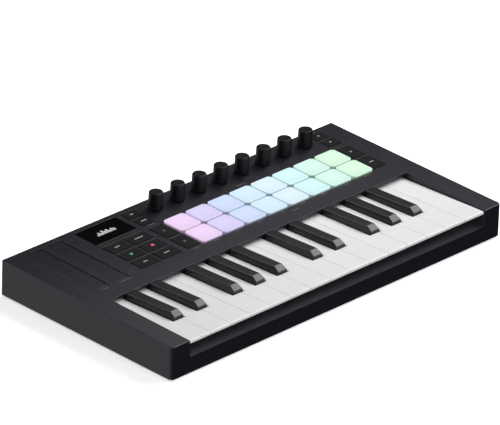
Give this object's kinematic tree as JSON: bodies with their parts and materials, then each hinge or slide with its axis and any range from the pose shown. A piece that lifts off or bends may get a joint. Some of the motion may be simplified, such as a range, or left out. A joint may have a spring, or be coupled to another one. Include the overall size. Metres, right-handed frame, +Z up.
{
  "type": "midi keyboard",
  "caption": "Small desktop MIDI keyboard: mini piano keys, a grid of lit pads, endless knobs, soft buttons, touch strips and a screen in a thin wedge case.",
  "frame": {"origin": "on the table, under the middle of the case, at the bottom of the rubber feet", "axes": "+X to the player's right along the keys, +Y to the back, +Z up"},
  "size_m": [0.33, 0.172, 0.0424],
  "materials": {
    "case": "fine moulded texture, charcoal",
    "base": "moulded texture, black",
    "chassis": "plain moulded, black",
    "board": "green solder mask",
    "white_keys": "satin white",
    "black_keys": "satin black",
    "pads": "translucent silicone, lit from below in pastel colours",
    "buttons": "soft-touch black",
    "knobs": "soft-touch black",
    "screen": "glossy black window",
    "strips": "smooth charcoal",
    "usb_shell": "plated steel",
    "jacks": "black moulded",
    "feet": "matt rubber"
  },
  "bodies": {
    "casing": {"top_case": "case", "bottom_case": "base", "key_chassis": "chassis", "circuit_board": "board", "pad_mat": "pads", "screen_lens": "screen", "pitch_strip": "strips", "modulation_strip": "strips", "usb_socket": "usb_shell", "midi_out_jack": "jacks", "sustain_jack": "jacks", "front_foot": "feet", "rear_foot": "feet"},
    "white_key_01": {"white_key_01": "white_keys"},
    "white_key_02": {"white_key_02": "white_keys"},
    "white_key_03": {"white_key_03": "white_keys"},
    "white_key_04": {"white_key_04": "white_keys"},
    "white_key_05": {"white_key_05": "white_keys"},
    "white_key_06": {"white_key_06": "white_keys"},
    "white_key_07": {"white_key_07": "white_keys"},
    "white_key_08": {"white_key_08": "white_keys"},
    "white_key_09": {"white_key_09": "white_keys"},
    "white_key_10": {"white_key_10": "white_keys"},
    "white_key_11": {"white_key_11": "white_keys"},
    "white_key_12": {"white_key_12": "white_keys"},
    "white_key_13": {"white_key_13": "white_keys"},
    "white_key_14": {"white_key_14": "white_keys"},
    "white_key_15": {"white_key_15": "white_keys"},
    "black_key_01": {"black_key_01": "black_keys"},
    "black_key_02": {"black_key_02": "black_keys"},
    "black_key_03": {"black_key_03": "black_keys"},
    "black_key_04": {"black_key_04": "black_keys"},
    "black_key_05": {"black_key_05": "black_keys"},
    "black_key_06": {"black_key_06": "black_keys"},
    "black_key_07": {"black_key_07": "black_keys"},
    "black_key_08": {"black_key_08": "black_keys"},
    "black_key_09": {"black_key_09": "black_keys"},
    "black_key_10": {"black_key_10": "black_keys"},
    "knob_1": {"knob_1": "knobs"},
    "knob_2": {"knob_2": "knobs"},
    "knob_3": {"knob_3": "knobs"},
    "knob_4": {"knob_4": "knobs"},
    "knob_5": {"knob_5": "knobs"},
    "knob_6": {"knob_6": "knobs"},
    "knob_7": {"knob_7": "knobs"},
    "knob_8": {"knob_8": "knobs"},
    "shift_button": {"shift_button": "buttons"},
    "settings_button": {"settings_button": "buttons"},
    "custom_button": {"custom_button": "buttons"},
    "arp_button": {"arp_button": "buttons"},
    "play_button": {"play_button": "buttons"},
    "record_button": {"record_button": "buttons"},
    "octave_down_button": {"octave_down_button": "buttons"},
    "octave_up_button": {"octave_up_button": "buttons"},
    "pad_bank_up_button": {"pad_bank_up_button": "buttons"},
    "pad_bank_down_button": {"pad_bank_down_button": "buttons"},
    "knob_bank_up_button": {"knob_bank_up_button": "buttons"},
    "knob_bank_down_button": {"knob_bank_down_button": "buttons"},
    "scene_launch_button": {"scene_launch_button": "buttons"},
    "function_button": {"function_button": "buttons"}
  },
  "joints": [
    {"name": "white_key_01_press", "type": "hinge", "parent": "casing", "child": "white_key_01", "pos_m": [0, 0.004, 0.017], "axis": [1, 0, 0], "range_deg": [0, 2.2], "stiffness_Nm_per_rad": 0.6, "springref_deg": -2.86},
    {"name": "white_key_02_press", "type": "hinge", "parent": "casing", "child": "white_key_02", "pos_m": [0, 0.004, 0.017], "axis": [1, 0, 0], "range_deg": [0, 2.2], "stiffness_Nm_per_rad": 0.6, "springref_deg": -2.86},
    {"name": "white_key_03_press", "type": "hinge", "parent": "casing", "child": "white_key_03", "pos_m": [0, 0.004, 0.017], "axis": [1, 0, 0], "range_deg": [0, 2.2], "stiffness_Nm_per_rad": 0.6, "springref_deg": -2.86},
    {"name": "white_key_04_press", "type": "hinge", "parent": "casing", "child": "white_key_04", "pos_m": [0, 0.004, 0.017], "axis": [1, 0, 0], "range_deg": [0, 2.2], "stiffness_Nm_per_rad": 0.6, "springref_deg": -2.86},
    {"name": "white_key_05_press", "type": "hinge", "parent": "casing", "child": "white_key_05", "pos_m": [0, 0.004, 0.017], "axis": [1, 0, 0], "range_deg": [0, 2.2], "stiffness_Nm_per_rad": 0.6, "springref_deg": -2.86},
    {"name": "white_key_06_press", "type": "hinge", "parent": "casing", "child": "white_key_06", "pos_m": [0, 0.004, 0.017], "axis": [1, 0, 0], "range_deg": [0, 2.2], "stiffness_Nm_per_rad": 0.6, "springref_deg": -2.86},
    {"name": "white_key_07_press", "type": "hinge", "parent": "casing", "child": "white_key_07", "pos_m": [0, 0.004, 0.017], "axis": [1, 0, 0], "range_deg": [0, 2.2], "stiffness_Nm_per_rad": 0.6, "springref_deg": -2.86},
    {"name": "white_key_08_press", "type": "hinge", "parent": "casing", "child": "white_key_08", "pos_m": [0, 0.004, 0.017], "axis": [1, 0, 0], "range_deg": [0, 2.2], "stiffness_Nm_per_rad": 0.6, "springref_deg": -2.86},
    {"name": "white_key_09_press", "type": "hinge", "parent": "casing", "child": "white_key_09", "pos_m": [0, 0.004, 0.017], "axis": [1, 0, 0], "range_deg": [0, 2.2], "stiffness_Nm_per_rad": 0.6, "springref_deg": -2.86},
    {"name": "white_key_10_press", "type": "hinge", "parent": "casing", "child": "white_key_10", "pos_m": [0, 0.004, 0.017], "axis": [1, 0, 0], "range_deg": [0, 2.2], "stiffness_Nm_per_rad": 0.6, "springref_deg": -2.86},
    {"name": "white_key_11_press", "type": "hinge", "parent": "casing", "child": "white_key_11", "pos_m": [0, 0.004, 0.017], "axis": [1, 0, 0], "range_deg": [0, 2.2], "stiffness_Nm_per_rad": 0.6, "springref_deg": -2.86},
    {"name": "white_key_12_press", "type": "hinge", "parent": "casing", "child": "white_key_12", "pos_m": [0, 0.004, 0.017], "axis": [1, 0, 0], "range_deg": [0, 2.2], "stiffness_Nm_per_rad": 0.6, "springref_deg": -2.86},
    {"name": "white_key_13_press", "type": "hinge", "parent": "casing", "child": "white_key_13", "pos_m": [0, 0.004, 0.017], "axis": [1, 0, 0], "range_deg": [0, 2.2], "stiffness_Nm_per_rad": 0.6, "springref_deg": -2.86},
    {"name": "white_key_14_press", "type": "hinge", "parent": "casing", "child": "white_key_14", "pos_m": [0, 0.004, 0.017], "axis": [1, 0, 0], "range_deg": [0, 2.2], "stiffness_Nm_per_rad": 0.6, "springref_deg": -2.86},
    {"name": "white_key_15_press", "type": "hinge", "parent": "casing", "child": "white_key_15", "pos_m": [0, 0.004, 0.017], "axis": [1, 0, 0], "range_deg": [0, 2.2], "stiffness_Nm_per_rad": 0.6, "springref_deg": -2.86},
    {"name": "black_key_01_press", "type": "hinge", "parent": "casing", "child": "black_key_01", "pos_m": [0, 0.004, 0.017], "axis": [1, 0, 0], "range_deg": [0, 2.6], "stiffness_Nm_per_rad": 0.6, "springref_deg": -2.86},
    {"name": "black_key_02_press", "type": "hinge", "parent": "casing", "child": "black_key_02", "pos_m": [0, 0.004, 0.017], "axis": [1, 0, 0], "range_deg": [0, 2.6], "stiffness_Nm_per_rad": 0.6, "springref_deg": -2.86},
    {"name": "black_key_03_press", "type": "hinge", "parent": "casing", "child": "black_key_03", "pos_m": [0, 0.004, 0.017], "axis": [1, 0, 0], "range_deg": [0, 2.6], "stiffness_Nm_per_rad": 0.6, "springref_deg": -2.86},
    {"name": "black_key_04_press", "type": "hinge", "parent": "casing", "child": "black_key_04", "pos_m": [0, 0.004, 0.017], "axis": [1, 0, 0], "range_deg": [0, 2.6], "stiffness_Nm_per_rad": 0.6, "springref_deg": -2.86},
    {"name": "black_key_05_press", "type": "hinge", "parent": "casing", "child": "black_key_05", "pos_m": [0, 0.004, 0.017], "axis": [1, 0, 0], "range_deg": [0, 2.6], "stiffness_Nm_per_rad": 0.6, "springref_deg": -2.86},
    {"name": "black_key_06_press", "type": "hinge", "parent": "casing", "child": "black_key_06", "pos_m": [0, 0.004, 0.017], "axis": [1, 0, 0], "range_deg": [0, 2.6], "stiffness_Nm_per_rad": 0.6, "springref_deg": -2.86},
    {"name": "black_key_07_press", "type": "hinge", "parent": "casing", "child": "black_key_07", "pos_m": [0, 0.004, 0.017], "axis": [1, 0, 0], "range_deg": [0, 2.6], "stiffness_Nm_per_rad": 0.6, "springref_deg": -2.86},
    {"name": "black_key_08_press", "type": "hinge", "parent": "casing", "child": "black_key_08", "pos_m": [0, 0.004, 0.017], "axis": [1, 0, 0], "range_deg": [0, 2.6], "stiffness_Nm_per_rad": 0.6, "springref_deg": -2.86},
    {"name": "black_key_09_press", "type": "hinge", "parent": "casing", "child": "black_key_09", "pos_m": [0, 0.004, 0.017], "axis": [1, 0, 0], "range_deg": [0, 2.6], "stiffness_Nm_per_rad": 0.6, "springref_deg": -2.86},
    {"name": "black_key_10_press", "type": "hinge", "parent": "casing", "child": "black_key_10", "pos_m": [0, 0.004, 0.017], "axis": [1, 0, 0], "range_deg": [0, 2.6], "stiffness_Nm_per_rad": 0.6, "springref_deg": -2.86},
    {"name": "knob_1_turn", "type": "hinge", "parent": "casing", "child": "knob_1", "pos_m": [-0.0286, 0.0715, 0.02855], "axis": [0, -0.0105, 0.9999], "continuous": true},
    {"name": "knob_2_turn", "type": "hinge", "parent": "casing", "child": "knob_2", "pos_m": [-0.00695, 0.0715, 0.02855], "axis": [0, -0.0105, 0.9999], "continuous": true},
    {"name": "knob_3_turn", "type": "hinge", "parent": "casing", "child": "knob_3", "pos_m": [0.0147, 0.0715, 0.02855], "axis": [0, -0.0105, 0.9999], "continuous": true},
    {"name": "knob_4_turn", "type": "hinge", "parent": "casing", "child": "knob_4", "pos_m": [0.03635, 0.0715, 0.02855], "axis": [0, -0.0105, 0.9999], "continuous": true},
    {"name": "knob_5_turn", "type": "hinge", "parent": "casing", "child": "knob_5", "pos_m": [0.058, 0.0715, 0.02855], "axis": [0, -0.0105, 0.9999], "continuous": true},
    {"name": "knob_6_turn", "type": "hinge", "parent": "casing", "child": "knob_6", "pos_m": [0.07965, 0.0715, 0.02855], "axis": [0, -0.0105, 0.9999], "continuous": true},
    {"name": "knob_7_turn", "type": "hinge", "parent": "casing", "child": "knob_7", "pos_m": [0.1013, 0.0715, 0.02855], "axis": [0, -0.0105, 0.9999], "continuous": true},
    {"name": "knob_8_turn", "type": "hinge", "parent": "casing", "child": "knob_8", "pos_m": [0.12295, 0.0715, 0.02855], "axis": [0, -0.0105, 0.9999], "continuous": true},
    {"name": "shift_button_press", "type": "slide", "parent": "casing", "child": "shift_button", "axis": [0, 0.0105, -0.9999], "range_m": [0, 0.0008], "stiffness_N_per_m": 800, "springref_m": -0.0006},
    {"name": "settings_button_press", "type": "slide", "parent": "casing", "child": "settings_button", "axis": [0, 0.0105, -0.9999], "range_m": [0, 0.0008], "stiffness_N_per_m": 800, "springref_m": -0.0006},
    {"name": "custom_button_press", "type": "slide", "parent": "casing", "child": "custom_button", "axis": [0, 0.0105, -0.9999], "range_m": [0, 0.0008], "stiffness_N_per_m": 800, "springref_m": -0.0006},
    {"name": "arp_button_press", "type": "slide", "parent": "casing", "child": "arp_button", "axis": [0, 0.0105, -0.9999], "range_m": [0, 0.0008], "stiffness_N_per_m": 800, "springref_m": -0.0006},
    {"name": "play_button_press", "type": "slide", "parent": "casing", "child": "play_button", "axis": [0, 0.0105, -0.9999], "range_m": [0, 0.0008], "stiffness_N_per_m": 800, "springref_m": -0.0006},
    {"name": "record_button_press", "type": "slide", "parent": "casing", "child": "record_button", "axis": [0, 0.0105, -0.9999], "range_m": [0, 0.0008], "stiffness_N_per_m": 800, "springref_m": -0.0006},
    {"name": "octave_down_button_press", "type": "slide", "parent": "casing", "child": "octave_down_button", "axis": [0, 0.0105, -0.9999], "range_m": [0, 0.0008], "stiffness_N_per_m": 800, "springref_m": -0.0006},
    {"name": "octave_up_button_press", "type": "slide", "parent": "casing", "child": "octave_up_button", "axis": [0, 0.0105, -0.9999], "range_m": [0, 0.0008], "stiffness_N_per_m": 800, "springref_m": -0.0006},
    {"name": "pad_bank_up_button_press", "type": "slide", "parent": "casing", "child": "pad_bank_up_button", "axis": [0, 0.0105, -0.9999], "range_m": [0, 0.0008], "stiffness_N_per_m": 800, "springref_m": -0.0006},
    {"name": "pad_bank_down_button_press", "type": "slide", "parent": "casing", "child": "pad_bank_down_button", "axis": [0, 0.0105, -0.9999], "range_m": [0, 0.0008], "stiffness_N_per_m": 800, "springref_m": -0.0006},
    {"name": "knob_bank_up_button_press", "type": "slide", "parent": "casing", "child": "knob_bank_up_button", "axis": [0, 0.0105, -0.9999], "range_m": [0, 0.0008], "stiffness_N_per_m": 800, "springref_m": -0.0006},
    {"name": "knob_bank_down_button_press", "type": "slide", "parent": "casing", "child": "knob_bank_down_button", "axis": [0, 0.0105, -0.9999], "range_m": [0, 0.0008], "stiffness_N_per_m": 800, "springref_m": -0.0006},
    {"name": "scene_launch_button_press", "type": "slide", "parent": "casing", "child": "scene_launch_button", "axis": [0, 0.0105, -0.9999], "range_m": [0, 0.0008], "stiffness_N_per_m": 800, "springref_m": -0.0006},
    {"name": "function_button_press", "type": "slide", "parent": "casing", "child": "function_button", "axis": [0, 0.0105, -0.9999], "range_m": [0, 0.0008], "stiffness_N_per_m": 800, "springref_m": -0.0006}
  ]
}
